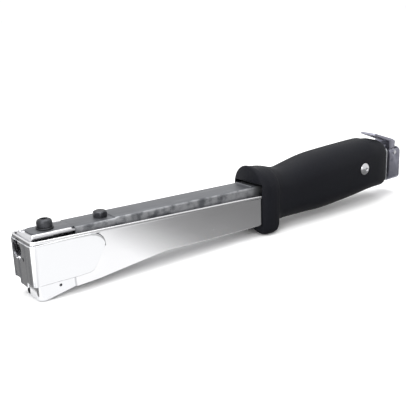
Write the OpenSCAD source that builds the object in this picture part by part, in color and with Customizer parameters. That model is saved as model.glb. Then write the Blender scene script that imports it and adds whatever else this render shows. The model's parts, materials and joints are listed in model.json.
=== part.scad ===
// Hammer tacker: a swung stapler with a chrome casing, a steel arm and a moulded grip.
// Origin: middle of the nose's striking face. +X runs back along the magazine to the
// grip, +Y across, +Z up. At rest the nose and the grip's guard both touch z = 0.

/* [Lengths] */
// Distance from the driver back to the casing's end
casing_len = 172; // [150:1:210]
// Length of the grip behind the casing
grip_len = 141; // [120:1:170]
// Distance from the pivot back to the grip's end
pivot_inset = 32; // [28:1:38]

/* [Staple and driver] */
// Width of the staple's crown
staple_w = 10.6; // [9:0.1:12.7]
// Length of the longest staple leg
leg_h = 8; // [6.6:0.1:9.4]
// Stroke of the driver blade
stroke = 17.4; // [14.4:0.1:21]
// Thickness of the driver blade
blade_t = 1.2; // [0.9:0.1:1.5]
// Gap between the blade and its guides
blade_gap = 0.2; // [0.15:0.01:0.3]
// Diameter of the peg that drives the blade
peg_d = 3; // [2.4:0.1:3.6]

/* [Casing] */
// Thickness of the casing's sheet
casing_t = 1.4; // [1:0.1:1.7]
// Gap between the arm and the casing's wall, each side
casing_gap = 3; // [2.4:0.1:3.8]
// Thickness of the head cover plate
cover_t = 1.1; // [0.9:0.1:1.4]
// Diameter of the sight hole in the head cover
sight_hole_d = 12; // [9:0.5:14]

/* [Magazine] */
// Thickness of the magazine channel's sheet
channel_t = 1.2; // [1:0.1:1.5]
// Height of the rail that the staples straddle
rail_h = 4.1; // [3.8:0.1:5]
// Thickness of the rail's sheet
rail_t = 0.9; // [0.7:0.1:1]

/* [Arm] */
// Thickness of the arm's top web
web_t = 3; // [2.8:0.1:3.6]
// Thickness of the arm's side flanges
flange_t = 1.7; // [1.4:0.1:2.1]
// Gap between the arm's flanges and the magazine channel, each side
arm_gap = 1.3; // [1:0.1:1.6]
// Outside diameter of the return spring
return_spring_d = 12; // [10:0.5:14.4]
// Diameter of the bolt heads
bolt_head_d = 9.6; // [8:0.2:11.6]

/* [Pivot] */
// Diameter of the pivot rivet
pivot_d = 5; // [4:0.1:6]
// Radial clearance of each running fit
running_gap = 0.05; // [0.03:0.01:0.08]

/* [Grip] */
// Wall of the guard beside the collar
guard_wall = 4; // [3.2:0.1:5]
// Thickness of the grip beside the arm
grip_wall = 7.5; // [6:0.1:9]

/* [Hidden] */
$fn = 48;

// Small overlap that keeps cutting faces apart
eps = 0.05;

// Widths, from the staple outwards
blade_w = staple_w + 1.4;
channel_inner_w = blade_w - 0.4;
channel_w = channel_inner_w + 2 * channel_t;
rail_w = channel_inner_w - 2.6;
arm_w = channel_w + 2 * (arm_gap + flange_t);
casing_inner_w = arm_w + 2 * casing_gap;
casing_w = casing_inner_w + 2 * casing_t;
cover_w = casing_w + 2 * cover_t;
collar_gap = 0.6;
collar_w = casing_w + 2 * collar_gap;
guard_w = collar_w + 2 * guard_wall;
grip_w = arm_w + 2 * grip_wall;

// Heights, from the work upwards
crown_z = stroke + 0.7;
channel_low_z = crown_z - leg_h - 0.7;
channel_top_z = crown_z + 0.5 + channel_t;
rail_top_z = crown_z - 0.6;
rail_low_z = rail_top_z - rail_h;
channel_high_z = rail_low_z + 0.6;
pivot_z = channel_top_z + 10.8;
arm_front_z = channel_top_z + stroke + web_t + 0.9;
arm_back_z = channel_top_z + 16.6;
casing_front_z = arm_front_z - 2.8;
casing_back_z = arm_back_z - 6.1;
guard_h = arm_back_z + 13.2;

// Places along the tool
guide_face_x = blade_t / 2 + blade_gap;
guard_front_x = casing_len - 4;
grip_back_x = casing_len + grip_len;
pivot_x = grip_back_x - pivot_inset;
plate_x = grip_back_x + 2.2;

// Casing and head cover
cover_front_x = -6;
casing_front_x = cover_front_x + cover_t;
corner_r = 4.5;
sight_hole_y = 4.2;
sight_hole_z = casing_front_z - 8.5;
pin_hole_y = -3.6;
pin_hole_z = casing_front_z - 12.8;
pin_hole_d = 2.2;
tongue_far_y = 4;
lobe_low_z = channel_low_z + 1;
// Lower edge of the casing, front to back: [x, z]
kink_z = channel_low_z + 0.7;
collar_low_z = kink_z - 2.8;
casing_low = [
    [21.5, kink_z - 6.2], [38, kink_z - 5.4], [67, kink_z - 2.3], [89, kink_z],
    [117, kink_z - 1], [casing_len, collar_low_z + 0.4]
];
lip_t = 1.4;
mouth_w = arm_w + 2.4;

// Nose
nose_w = casing_inner_w - 0.2;
nose_t = 1.4;
nose_front_x = -guide_face_x - nose_t;
nose_corner_r = 4;
nose_far_y = 5;
block_back_x = 10;
block_top_z = channel_low_z - 0.2;
block_w = nose_w - 2 * nose_t - 0.6;
nose_hole_x = 11.7;
nose_hole_z = 7.4;
nose_hole_d = 1.9;

// Magazine channel and rail
channel_front_x = guide_face_x + 0.2;
channel_step_x = casing_len + 4;
rail_front_x = channel_front_x + 0.3;
rail_back_x = plate_x + 10.8;
rod_r = 0.9;
rod_z = rail_low_z + 1.4;
pusher_front_x = rail_front_x + 2.1;
pusher_len = 22;
pusher_gap = 0.2;
pusher_floor = 2.2;
pusher_spring_d = 3.6;
rod_start = 1.2;

// Pivot
bush_r = pivot_d / 2 + running_gap + 1.4;
ear_top_z = pivot_z + 6;
ear_half = 8;
grip_bore_len = 2 * guard_w;

// Arm: its top falls gently to the back
arm_front_x = 0;
arm_back_x = pivot_x - 19;
flange_front_x = 26;
flange_h = 9;
shoe_drop = 1.6;
lip_back_x = -guide_face_x - 0.6;
lip_front_x = lip_back_x - 1.8;
peg_z = arm_front_z - 8.1;
lip_low_z = peg_z - 2;
tongue_w = arm_w - 4;
driver_bolt_x = 11;
bumper_bolt_x = 48.5;
bolt_shank_r = 2.4;
arm_step_x = 54;
arm_step_h = 0.6;
washer_t = 0.95;
// Heads stand clear of the sloping top by this much at their middle
head_lift = 0.17;

// Return spring
spring_x = casing_len - 32;
spring_wire = 1.6;
seat_t = 1;

// Rear plate, bracket and latch
plate_t = 1.6;
bracket_front_x = plate_x + 5.4;
bracket_back_x = bracket_front_x + 13.4;
bracket_w = arm_w;
bracket_t = 1.4;
bracket_low_z = rail_low_z - bracket_t;
bracket_top_z = pivot_z + 9;
foot_w = bracket_w / 2 - bracket_t - rail_w / 2;
rail_rivet_x = bracket_front_x + 2.6;
rail_rivet_z = rail_low_z + 2;
rail_rivet_r = 0.8;
latch_x = bracket_front_x + 5.9;
latch_z = pivot_z + 5.6;
latch_pin_r = 1.5;
lever_w = bracket_w - 5;

function arm_top(x) = arm_front_z - (arm_front_z - arm_back_z) * x / guard_front_x;
function web_under(x) = arm_top(x) - web_t;
function casing_top(x) = casing_front_z
    - (casing_front_z - casing_back_z) * (x - cover_front_x) / (casing_len - cover_front_x);
// How far the arm comes down at x when the blade makes its full stroke
function drop(x) = stroke * (pivot_x - x) / pivot_x;

// Extrudes an [x, z] outline across the width, centred on y = 0.
module across(width) {
    rotate([90, 0, 0]) linear_extrude(width, center = true) children();
}

// Extrudes a [y, z] outline along x, starting at x = 0.
module along(length) {
    rotate([90, 0, 90]) linear_extrude(length) children();
}

// A cylinder across the width, centred on y = 0.
module cross_pin(x, z, r, length) {
    translate([x, 0, z]) rotate([90, 0, 0]) cylinder(r = r, h = length, center = true);
}

// A cylinder along x.
module long_pin(x, y, z, r, length) {
    translate([x, y, z]) rotate([0, 90, 0]) cylinder(r = r, h = length);
}

// A rectangle centred on y = 0 with round corners, as plain squares and circles.
module round_rect(w, low, high, r) {
    translate([-w / 2 + r, low]) square([w - 2 * r, high - low]);
    translate([-w / 2, low + r]) square([w, high - low - 2 * r]);
    for (y = [-w / 2 + r, w / 2 - r], z = [low + r, high - r])
        translate([y, z]) circle(r = r);
}

// Plan of a folded sheet: a front wall at x, with round corners, open at the back.
module fold_plan(x, w, r, back_x) {
    translate([x + r, -w / 2]) square([back_x - x - r, w]);
    translate([x, -w / 2 + r]) square([r + eps, w - 2 * r]);
    for (y = [-w / 2 + r, w / 2 - r]) translate([x + r, y]) circle(r = r);
}

module fold_wall(x, w, r, t, back_x) {
    difference() {
        fold_plan(x, w, r, back_x);
        fold_plan(x + t, w - 2 * t, r - t, back_x + eps);
    }
}

module casing_side() {
    polygon(concat(
        [[casing_front_x, channel_low_z + 2.6], [21.5, channel_low_z + 2.6]],
        casing_low,
        [[casing_len, casing_top(casing_len)], [casing_front_x, casing_top(casing_front_x)]]
    ));
}

module casing_lips() {
    lower = [for (p = casing_low) if (p[0] > 30) p];
    upper = [for (i = [len(lower) - 1:-1:0]) lower[i] + [0, lip_t]];
    polygon(concat(lower, upper));
}

module casing() {
    lip_w = (casing_inner_w - channel_w) / 2;
    color("gainsboro") {
        difference() {
            intersection() {
                linear_extrude(arm_front_z)
                    fold_wall(casing_front_x, casing_w, corner_r - cover_t, casing_t, casing_len);
                across(casing_w + 1) casing_side();
            }
            long_pin(casing_front_x - eps, sight_hole_y, sight_hole_z, sight_hole_d / 2 + 0.8,
                     casing_t + 2 * eps);
            // Mouth for the driver
            translate([casing_front_x - eps, -mouth_w / 2, -eps])
                cube([casing_t + 2 * eps, mouth_w, channel_low_z + 12.6]);
        }
        for (side = [-1, 1])
            translate([0, side * (channel_w + lip_w + eps) / 2, 0])
                across(lip_w + eps) casing_lips();
    }
}

module head_cover_side() {
    top_z = casing_top(0) - 2.2;
    polygon([
        [cover_front_x, channel_low_z - 1.2], [cover_front_x + corner_r, channel_low_z + 2],
        [23, channel_low_z + 1.2], [32, channel_low_z + 1.5], [34, channel_low_z + 2.4],
        [43, casing_front_z - 11.1], [41, casing_front_z - 7], [37, casing_front_z - 3.9],
        [casing_front_x, top_z], [cover_front_x, top_z]
    ]);
}

module head_cover() {
    color("silver") {
        difference() {
            intersection() {
                linear_extrude(arm_front_z)
                    fold_wall(cover_front_x, cover_w, corner_r, cover_t, 45);
                across(cover_w + 1) head_cover_side();
            }
            // Sight hole and locating hole
            long_pin(cover_front_x - eps, sight_hole_y, sight_hole_z, sight_hole_d / 2,
                     cover_t + 2 * eps);
            long_pin(cover_front_x - eps, pin_hole_y, pin_hole_z, pin_hole_d / 2,
                     cover_t + 2 * eps);
            // The lower edge steps up beside the tongue, and a slit splits the far lobe
            translate([cover_front_x - 1, tongue_far_y, 0]) cube([8, casing_w, lobe_low_z]);
            translate([cover_front_x - 1, -6 - casing_w, 0]) cube([8, casing_w, lobe_low_z]);
            translate([cover_front_x - 1, 9, lobe_low_z + 1.2]) cube([4, 1.1, 3]);
        }
    }
}

module nose_side() {
    polygon([
        [nose_front_x, 0], [2.5, 0], [21.5, channel_low_z - 5.8], [23.4, channel_low_z - 2.8],
        [24.1, channel_low_z + 0.5], [24.1, channel_low_z + 8.6], [4, channel_low_z + 8.6],
        [4, channel_low_z + 3], [nose_front_x, channel_low_z + 3]
    ]);
}

module nose_shell() {
    window_y = 0.6;
    window_z = 1.2;
    color("lightgray") {
        difference() {
            intersection() {
                linear_extrude(arm_front_z)
                    fold_wall(nose_front_x, nose_w, nose_corner_r, nose_t, 25);
                across(nose_w + 1) nose_side();
            }
            cross_pin(nose_hole_x, nose_hole_z, nose_hole_d / 2, nose_w + 1);
            // The far side of the front is cut away, and a window shows the blade's track
            translate([nose_front_x - 1, nose_far_y, -1])
                cube([guide_face_x - nose_front_x + 3, nose_w, channel_low_z + 0.6]);
            translate([nose_front_x - 1, window_y, window_z])
                cube([nose_t + 2, nose_far_y - 0.8 - window_y, channel_low_z - 1]);
        }
    }
}

module nose_block() {
    cheek_y = blade_w / 2 + blade_gap;
    cheek_w = 2.4;
    color("dimgray") {
        across(block_w)
            polygon([
                [guide_face_x, 0], [2.5, 0], [block_back_x, 1.4],
                [block_back_x, block_top_z], [guide_face_x, block_top_z]
            ]);
        for (side = [-1, 1])
            translate([-guide_face_x, side * (cheek_y + cheek_w / 2) - cheek_w / 2, 0])
                cube([2 * guide_face_x + eps, cheek_w, block_top_z]);
    }
}

module channel_roof() {
    color("slategray")
        translate([channel_front_x, -channel_inner_w / 2, channel_top_z - channel_t])
            cube([plate_x - channel_front_x, channel_inner_w, channel_t]);
}

module channel_side() {
    polygon([
        [channel_front_x, channel_low_z], [channel_step_x, channel_low_z],
        [channel_step_x + 6, channel_high_z], [plate_x, channel_high_z],
        [plate_x, channel_top_z], [pivot_x + 14, channel_top_z],
        [pivot_x + ear_half, ear_top_z - 3], [pivot_x + ear_half - 3, ear_top_z],
        [pivot_x - ear_half + 3, ear_top_z], [pivot_x - ear_half, ear_top_z - 3],
        [pivot_x - 14, channel_top_z], [channel_front_x, channel_top_z]
    ]);
}

module channel_sides() {
    color("slategray") {
        difference() {
            for (side = [-1, 1])
                translate([0, side * (channel_w - channel_t) / 2, 0])
                    across(channel_t) channel_side();
            cross_pin(pivot_x, pivot_z, bush_r, channel_w + 1);
        }
    }
}

module spring_seat() {
    color("slategray") {
        translate([spring_x, 0, channel_top_z]) {
            cylinder(d = return_spring_d + 1.4, h = seat_t);
            cylinder(d = return_spring_d - 2 * spring_wire - 1, h = seat_t + 2);
        }
    }
}

module pivot_bush() {
    color("darkgoldenrod") {
        difference() {
            cross_pin(pivot_x, pivot_z, bush_r, channel_w);
            cross_pin(pivot_x, pivot_z, pivot_d / 2 + running_gap, channel_w + 1);
        }
    }
}

module end_plate() {
    catch_z = pivot_z + 1;
    catch_w = 8;
    color("gainsboro") {
        difference() {
            translate([plate_x, 0, 0]) along(plate_t)
                round_rect(arm_w + 1, bracket_low_z + 0.6, pivot_z + 10.4, 3);
            // Window for the rail and the pusher
            translate([plate_x - 1, -channel_inner_w / 2, 0])
                cube([plate_t + 2, channel_inner_w, rail_top_z + 1]);
        }
        // Catch for the latch tooth
        translate([plate_x + plate_t - eps, -catch_w / 2, catch_z]) cube([4.6, catch_w, 1.4]);
        translate([plate_x + plate_t + 3.15, -catch_w / 2, catch_z]) cube([1.4, catch_w, 3.2]);
    }
}

module arm_web() {
    polygon([
        [flange_front_x, web_under(flange_front_x)], [arm_back_x, web_under(arm_back_x)],
        [arm_back_x, arm_top(arm_back_x)], [arm_step_x, arm_top(arm_step_x)],
        [arm_step_x, arm_top(arm_step_x) - arm_step_h],
        [arm_front_x, arm_top(arm_front_x) - arm_step_h],
        [arm_front_x, arm_top(arm_front_x) - shoe_drop],
        [flange_front_x, arm_top(flange_front_x) - shoe_drop]
    ]);
}

module arm_flange() {
    low_x = pivot_x - 16;
    polygon([
        [flange_front_x, web_under(flange_front_x) - flange_h + 3],
        [flange_front_x + 4, web_under(flange_front_x) - flange_h],
        [low_x, web_under(low_x) - flange_h],
        [pivot_x + 4, pivot_z - 8], [pivot_x + 9, pivot_z - 4],
        [pivot_x + 9, pivot_z + 4], [pivot_x + 5, pivot_z + 6.6],
        [arm_back_x + 4, pivot_z + 6.6], [arm_back_x, arm_top(arm_back_x) - 1],
        [arm_back_x - 8, web_under(arm_back_x - 8) + eps],
        [flange_front_x, web_under(flange_front_x) + eps]
    ]);
}

module hammer_arm() {
    color("dimgray") {
        difference() {
            union() {
                // The tongue at the front is narrower than the bar
                intersection() {
                    across(arm_w) arm_web();
                    union() {
                        translate([flange_front_x, -arm_w / 2, 0])
                            cube([arm_back_x, arm_w, arm_front_z]);
                        translate([arm_front_x, -tongue_w / 2, 0])
                            cube([flange_front_x + eps, tongue_w, arm_front_z]);
                    }
                }
                for (side = [-1, 1])
                    translate([0, side * (arm_w - flange_t) / 2, 0]) across(flange_t) arm_flange();
            }
            for (x = [driver_bolt_x, bumper_bolt_x])
                translate([x, 0, 0]) cylinder(r = bolt_shank_r, h = arm_front_z);
            cross_pin(pivot_x, pivot_z, pivot_d / 2, arm_w + 1);
        }
    }
}

module driver_holder() {
    back_top = arm_top(flange_front_x) - shoe_drop;
    front_top = arm_top(arm_front_x) - shoe_drop;
    nose_r = 2.9;
    rail_r = 1;
    color("silver") {
        difference() {
            union() {
                // Plate under the arm's tongue, with a turned-down front
                across(arm_w) {
                    polygon([
                        [lip_front_x + nose_r, web_under(0)], [flange_front_x, web_under(flange_front_x)],
                        [flange_front_x, back_top], [arm_front_x, front_top],
                        [lip_front_x + nose_r, front_top]
                    ]);
                    translate([lip_front_x + nose_r, front_top - nose_r]) circle(r = nose_r);
                    translate([lip_front_x, lip_low_z])
                        square([lip_back_x - lip_front_x, front_top - nose_r - lip_low_z]);
                }
                // Raised round rails beside the tongue
                for (side = [-1, 1])
                    long_pin(arm_front_x, side * (arm_w / 2 - rail_r), back_top, rail_r,
                             flange_front_x);
            }
            // Room for the blade behind the turned-down front
            translate([lip_back_x, -arm_w, 0]) cube([nose_r + 2, 2 * arm_w, web_under(0)]);
            translate([driver_bolt_x, 0, 0]) cylinder(r = bolt_shank_r, h = arm_front_z);
            long_pin(lip_front_x - 1, 0, peg_z, peg_d / 2, 6);
        }
    }
}

module domed_bolt(x, seat_z, low_z, head_h) {
    dome_h = 1.4;
    translate([x, 0, low_z]) cylinder(r = bolt_shank_r, h = seat_z - low_z + eps);
    translate([x, 0, seat_z]) cylinder(d = bolt_head_d, h = head_h - dome_h);
    translate([x, 0, seat_z + head_h - dome_h])
        cylinder(d1 = bolt_head_d, d2 = bolt_head_d - 2.8, h = dome_h);
}

module driver_bolt() {
    seat_z = arm_top(driver_bolt_x) - arm_step_h + head_lift + washer_t;
    color("#26262a") domed_bolt(driver_bolt_x, seat_z, web_under(driver_bolt_x) + 0.4, 5);
}

module driver_washer() {
    seat_z = arm_top(driver_bolt_x) - arm_step_h + head_lift;
    color("#3a3a40") {
        difference() {
            translate([driver_bolt_x, 0, seat_z]) cylinder(d = bolt_head_d + 1.2, h = washer_t);
            translate([driver_bolt_x, 0, 0]) cylinder(r = bolt_shank_r, h = 2 * arm_front_z);
        }
    }
}

module bumper_bolt() {
    seat_z = arm_top(bumper_bolt_x) - arm_step_h + head_lift;
    color("#26262a") domed_bolt(bumper_bolt_x, seat_z, web_under(bumper_bolt_x) - 0.8, 3.8);
}

// The buffer just fills the gap to the channel at full stroke, less a small clearance.
module bumper() {
    front_x = bumper_bolt_x - 8.5;
    back_x = bumper_bolt_x + 8.5;
    buffer_t = web_under(bumper_bolt_x) - drop(bumper_bolt_x) - channel_top_z - 0.6;
    color("black") {
        difference() {
            across(channel_w - 2)
                polygon([
                    [front_x, web_under(front_x) - buffer_t], [back_x, web_under(back_x) - buffer_t],
                    [back_x, web_under(back_x)], [front_x, web_under(front_x)]
                ]);
            translate([bumper_bolt_x, 0, 0]) cylinder(r = bolt_shank_r, h = arm_front_z);
        }
    }
}

module driver_peg() {
    color("gray")
        long_pin(lip_front_x, 0, peg_z, peg_d / 2, blade_t / 2 - 0.3 - lip_front_x);
}

module driver_blade() {
    top_z = peg_z + peg_d / 2 + 1.7;
    low_z = crown_z + 0.3;
    color("lightsteelblue") {
        difference() {
            translate([-blade_t / 2, -blade_w / 2, low_z]) cube([blade_t, blade_w, top_z - low_z]);
            long_pin(-blade_t, 0, peg_z, peg_d / 2 + 0.4, 2 * blade_t);
        }
    }
}

module return_spring() {
    low_z = channel_top_z + seat_t;
    high_z = web_under(spring_x) - 0.3;
    coil_r = (return_spring_d - spring_wire) / 2;
    turns = 5;
    pitch = (high_z - low_z - spring_wire) / turns;
    color("darkgray")
        translate([spring_x, 0, low_z + spring_wire / 2]) {
            for (i = [0:turns])
                translate([0, 0, i * pitch]) rotate_extrude()
                    translate([coil_r, 0]) circle(d = spring_wire, $fn = 24);
            rotate_extrude()
                translate([coil_r - 0.2, 0]) square([0.4, turns * pitch]);
        }
}

// One cross-section of the grip: a thin slab with round corners.
module grip_section(x, low, high, w, r) {
    translate([x, 0, 0]) along(0.5) round_rect(w, low, high, r, $fn = 32);
}

// Sections of the grip, front to back: [x, low z, high z, width, corner radius]
grip_top_z = channel_top_z + 31;
front_part = [
    [casing_len + 9, 5.2, grip_top_z - 7.3, grip_w - 2, 12],
    [casing_len + 26, 5.4, grip_top_z - 6.6, grip_w - 2, 13],
    [casing_len + 44, 5.3, grip_top_z - 2.3, grip_w - 1, 14],
    [casing_len + 64, 4.7, grip_top_z - 0.6, grip_w, 14]
];
back_part = [
    [grip_back_x - 43, 6.6, grip_top_z + 0.1, grip_w - 1, 14],
    [grip_back_x - 17, 9, grip_top_z + 0.5, grip_w - 3, 12],
    [grip_back_x - 0.5, rail_low_z - 4.4, grip_top_z - 4, grip_w - 5, 11]
];
grip_parts = concat(front_part, back_part);

module grip_outside() {
    guard_r = 8;
    for (i = [0:len(grip_parts) - 2])
        hull() {
            for (p = [grip_parts[i], grip_parts[i + 1]])
                grip_section(p[0], p[1], p[2], p[3], p[4]);
        }
    // Guard with soft front and back edges
    hull() {
        grip_section(guard_front_x, 2, guard_h - 2, guard_w - 4, guard_r - 2);
        grip_section(guard_front_x + 2.5, 0, guard_h, guard_w, guard_r);
        grip_section(guard_front_x + 12, 0, guard_h, guard_w, guard_r);
        grip_section(guard_front_x + 15, 2.5, guard_h - 2.5, guard_w - 5, guard_r - 2);
    }
    // Bead over the arm, at the top of the guard
    cross_pin(guard_front_x, guard_h - 5, 5, guard_w - 2 * guard_r);
}

module grip() {
    collar_back_x = casing_len + 13.5;
    collar_top_z = casing_top(guard_front_x) + drop(guard_front_x) + 0.8;
    cavity_roof_z = pivot_z + 7.4;
    cavity_low_z = rail_low_z - 3;
    color("#14151c") {
        difference() {
            grip_outside();
            // Collar that the casing's end swings in
            translate([guard_front_x - 8, -collar_w / 2, collar_low_z])
                cube([collar_back_x - guard_front_x + 8, collar_w, collar_top_z - collar_low_z]);
            // Hollow for the arm and the magazine channel
            across(arm_w)
                polygon([
                    [collar_back_x - 5, cavity_low_z], [pivot_x, cavity_low_z],
                    [grip_back_x + 7, rail_low_z - 2.4], [grip_back_x + 7, channel_top_z + 2.2],
                    [pivot_x + 19, channel_top_z + 4.2], [pivot_x + 19, cavity_roof_z],
                    [arm_back_x, cavity_roof_z], [arm_back_x, arm_top(arm_back_x)],
                    [collar_back_x - 5, arm_top(collar_back_x - 5)]
                ]);
            cross_pin(pivot_x, pivot_z, pivot_d / 2, grip_bore_len);
        }
    }
}

module pivot_rivet() {
    head_y = grip_w / 2 - 1.1;
    head_d = pivot_d + 4.4;
    color("whitesmoke") {
        cross_pin(pivot_x, pivot_z, pivot_d / 2, 2 * head_y);
        for (side = [-1, 1])
            translate([pivot_x, side * head_y, pivot_z]) rotate([-90 * side, 0, 0]) {
                cylinder(d = head_d, h = 1);
                translate([0, 0, 1]) cylinder(d1 = head_d, d2 = pivot_d, h = 1.5);
            }
    }
}

module pivot_washers() {
    inner_y = channel_w / 2 + 0.2;
    outer_y = arm_w / 2 - flange_t;
    color("silver") {
        for (side = [-1, 1])
            translate([pivot_x, side * (inner_y + outer_y) / 2, pivot_z]) rotate([90, 0, 0])
                difference() {
                    cylinder(r = 5.5, h = outer_y - inner_y, center = true);
                    cylinder(d = pivot_d, h = 4, center = true);
                }
    }
}

module magazine_rail() {
    color("silver") {
        difference() {
            translate([rail_front_x, -rail_w / 2, rail_low_z])
                cube([rail_back_x - rail_front_x, rail_w, rail_h]);
            // Inside of the rail, open below
            translate([rail_front_x + rod_start, -rail_w / 2 + rail_t, rail_low_z - 1])
                cube([rail_back_x, rail_w - 2 * rail_t, rail_h - rail_t + 1]);
            cross_pin(rail_rivet_x, rail_rivet_z, rail_rivet_r, rail_w + 1);
        }
    }
}

module pusher_rod() {
    color("lightgray")
        long_pin(rail_front_x + rod_start, 0, rod_z, rod_r,
                 bracket_back_x - bracket_t - rail_front_x - rod_start);
}

module pusher_spring() {
    spring_front_x = pusher_front_x + pusher_len + 0.1;
    spring_back_x = bracket_front_x - 0.2;
    bore_r = rod_r + 0.4;
    color("darkgray")
        difference() {
            long_pin(spring_front_x, 0, rod_z, pusher_spring_d / 2, spring_back_x - spring_front_x);
            long_pin(spring_front_x - 1, 0, rod_z, bore_r, spring_back_x - spring_front_x + 2);
        }
}

module pusher() {
    slide_gap = 0.25;
    saddle_w = channel_inner_w - 2 * slide_gap;
    saddle_low_z = rail_low_z - pusher_gap - pusher_floor;
    web_w = rail_w - 2 * rail_t - 0.8;
    color("gray") {
        difference() {
            // Saddle round the rail
            translate([pusher_front_x, -saddle_w / 2, saddle_low_z])
                cube([pusher_len, saddle_w, crown_z + pusher_gap - saddle_low_z]);
            translate([pusher_front_x - 1, -rail_w / 2 - pusher_gap, rail_low_z - pusher_gap])
                cube([pusher_len + 2, rail_w + 2 * pusher_gap, rail_h + 2 * pusher_gap]);
        }
        // Web inside the rail, round the rod
        difference() {
            translate([pusher_front_x + 2, -web_w / 2, rail_low_z - pusher_gap - eps])
                cube([pusher_len - 2, web_w, rail_h - rail_t - 0.3]);
            long_pin(pusher_front_x, 0, rod_z, rod_r + 0.1, pusher_len + 5);
        }
    }
}

module magazine_bracket() {
    color("lightsteelblue") {
        difference() {
            translate([bracket_front_x, 0, 0]) along(bracket_back_x - bracket_front_x)
                round_rect(bracket_w, bracket_low_z, bracket_top_z, 4);
            // Inside, open at the front and the top
            translate([bracket_front_x - 1, 0, 0])
                along(bracket_back_x - bracket_front_x - bracket_t + 1)
                    round_rect(bracket_w - 2 * bracket_t, bracket_low_z + bracket_t, 60, 2.6);
            cross_pin(latch_x, latch_z, latch_pin_r, bracket_w + 1);
        }
        // Feet that hold the rail
        for (side = [-1, 1])
            difference() {
                translate([bracket_front_x, side * (rail_w / 2 + foot_w / 2) - foot_w / 2,
                           bracket_low_z + bracket_t - eps])
                    cube([6, foot_w, 3.6]);
                cross_pin(rail_rivet_x, rail_rivet_z, rail_rivet_r, bracket_w);
            }
    }
}

module rail_rivets() {
    inner_y = 1.9;
    color("gray")
        for (side = [-1, 1])
            translate([rail_rivet_x, side * (inner_y + rail_w / 2 + foot_w) / 2, rail_rivet_z])
                rotate([90, 0, 0])
                    cylinder(r = rail_rivet_r, h = rail_w / 2 + foot_w - inner_y, center = true);
}

module latch_pin() {
    color("gray") cross_pin(latch_x, latch_z, latch_pin_r, bracket_w + 1.6);
}

module latch_lever() {
    pin_x = latch_x;
    pin_z = latch_z;
    tooth_w = 7;
    window_w = 8;
    color("#a9a9ba") {
        difference() {
            union() {
                across(lever_w) {
                    translate([pin_x, pin_z]) circle(r = 3);
                    // Neck and thumb tab
                    polygon([
                        [pin_x - 3, pin_z], [pin_x + 3, pin_z], [pin_x + 4, pin_z + 8.8],
                        [pin_x + 0.5, pin_z + 10.8], [pin_x - 21.7, pin_z + 18.4],
                        [pin_x - 23.5, pin_z + 17.2], [pin_x - 22.9, pin_z + 16.9],
                        [pin_x - 4.1, pin_z + 9.6]
                    ]);
                }
                // Tooth over the catch
                across(tooth_w)
                    polygon([
                        [pin_x - 9.1, pin_z - 0.6], [pin_x - 7.3, pin_z - 0.6],
                        [pin_x - 1.5, pin_z + 1.8], [pin_x - 1.5, pin_z + 7.8],
                        [pin_x - 9.1, pin_z + 1.8]
                    ]);
            }
            cross_pin(pin_x, pin_z, latch_pin_r + running_gap, bracket_w);
            // Window in the tab
            translate([pin_x - 18.5, -window_w / 2, pin_z + 4]) cube([10, window_w, 20]);
        }
    }
}

module latch_spring() {
    color("darkgray") {
        for (side = [-1, 1])
            translate([latch_x, side * (lever_w / 2 + 0.55), latch_z]) rotate([90, 0, 0])
                difference() {
                    cylinder(r = 2.8, h = 0.9, center = true);
                    cylinder(r = latch_pin_r + 0.3, h = 3, center = true);
                }
    }
}

casing();
head_cover();
nose_shell();
nose_block();
channel_roof();
channel_sides();
spring_seat();
pivot_bush();
end_plate();
hammer_arm();
driver_holder();
driver_bolt();
driver_washer();
bumper_bolt();
bumper();
driver_peg();
grip();
pivot_rivet();
pivot_washers();
driver_blade();
return_spring();
magazine_rail();
pusher_rod();
magazine_bracket();
rail_rivets();
latch_pin();
pusher_spring();
pusher();
latch_lever();
latch_spring();
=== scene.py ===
# %% [markdown]
# # A hammer tacker, dressed for its portrait
#
# The tool is a swung stapler. A chrome channel holds the staples, a dark steel arm lies in
# its open top, and the moulded grip at the back swings the arm down into the channel.
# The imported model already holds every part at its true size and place. This lesson gives
# the visible parts the folded edges, rolled rims, domes and moulded curves of real ones,
# and gives every part a finish.

# %% Load the frame
import json
import math
import bmesh
import bpy
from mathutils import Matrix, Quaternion, Vector


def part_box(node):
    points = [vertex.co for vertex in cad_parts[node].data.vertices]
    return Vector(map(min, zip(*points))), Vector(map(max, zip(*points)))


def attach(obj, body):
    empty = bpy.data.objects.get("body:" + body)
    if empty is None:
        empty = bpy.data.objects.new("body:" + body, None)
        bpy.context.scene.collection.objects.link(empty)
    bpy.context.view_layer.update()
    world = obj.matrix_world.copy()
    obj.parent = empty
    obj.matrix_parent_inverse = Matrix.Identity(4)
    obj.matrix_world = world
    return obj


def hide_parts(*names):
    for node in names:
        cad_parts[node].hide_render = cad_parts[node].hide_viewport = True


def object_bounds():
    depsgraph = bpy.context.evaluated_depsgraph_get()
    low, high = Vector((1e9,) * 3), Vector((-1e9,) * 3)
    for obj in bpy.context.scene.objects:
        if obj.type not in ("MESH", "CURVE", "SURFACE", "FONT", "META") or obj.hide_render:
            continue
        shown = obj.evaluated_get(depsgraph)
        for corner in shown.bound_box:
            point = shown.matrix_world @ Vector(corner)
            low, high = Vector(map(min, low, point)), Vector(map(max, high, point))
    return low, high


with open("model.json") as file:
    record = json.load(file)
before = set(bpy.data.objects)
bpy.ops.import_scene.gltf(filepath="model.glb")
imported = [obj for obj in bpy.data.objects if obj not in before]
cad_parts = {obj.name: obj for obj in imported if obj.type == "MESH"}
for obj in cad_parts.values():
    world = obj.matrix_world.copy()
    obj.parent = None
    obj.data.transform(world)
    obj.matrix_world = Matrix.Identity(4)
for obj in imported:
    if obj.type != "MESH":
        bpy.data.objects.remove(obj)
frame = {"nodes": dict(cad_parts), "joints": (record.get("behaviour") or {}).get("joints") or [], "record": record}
cad_box = [list(corner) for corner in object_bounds()]
MM = 0.001

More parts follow.
